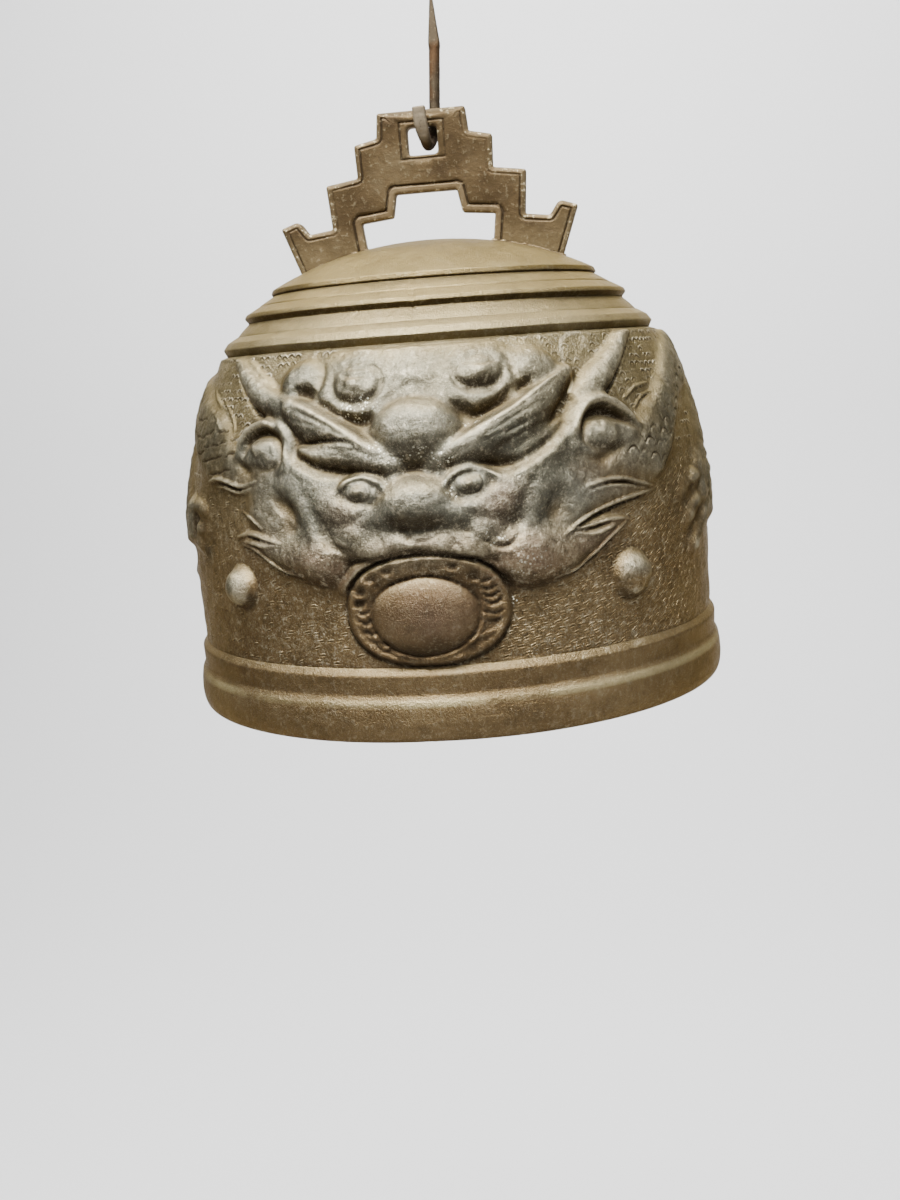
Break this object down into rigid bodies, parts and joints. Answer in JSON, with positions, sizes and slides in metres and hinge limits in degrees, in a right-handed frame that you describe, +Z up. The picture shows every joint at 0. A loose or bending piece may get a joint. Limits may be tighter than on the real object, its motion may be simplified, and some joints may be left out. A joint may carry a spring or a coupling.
{
  "type": "hanging temple bell",
  "caption": "Bronze temple bell with a beast mask and striking disc in relief, hung by its stepped crest plate from an iron hook.",
  "frame": {"origin": "where the hook's shank enters the underside of the rail that carries it", "axes": "+Z up along the shank, -Y towards the mask at the front, +X to the viewer's right"},
  "size_m": [0.2024, 0.2154, 0.257],
  "materials": {
    "bronze": "cast bronze with a brown and grey-green patina",
    "crest_bronze": "worn taupe-brown cast bronze plate with filed edges",
    "iron": "dark forged iron with brown rust"
  },
  "bodies": {
    "rail_hook": {"hook": "iron"},
    "bell": {"bell_shell": "bronze", "crest": "crest_bronze"}
  },
  "joints": [
    {"name": "bell_swing", "type": "hinge", "parent": "rail_hook", "child": "bell", "pos_m": [-0.0061, -0.0066, -0.0295], "axis": [1, 0, 0], "range_deg": [-12, 12]}
  ]
}
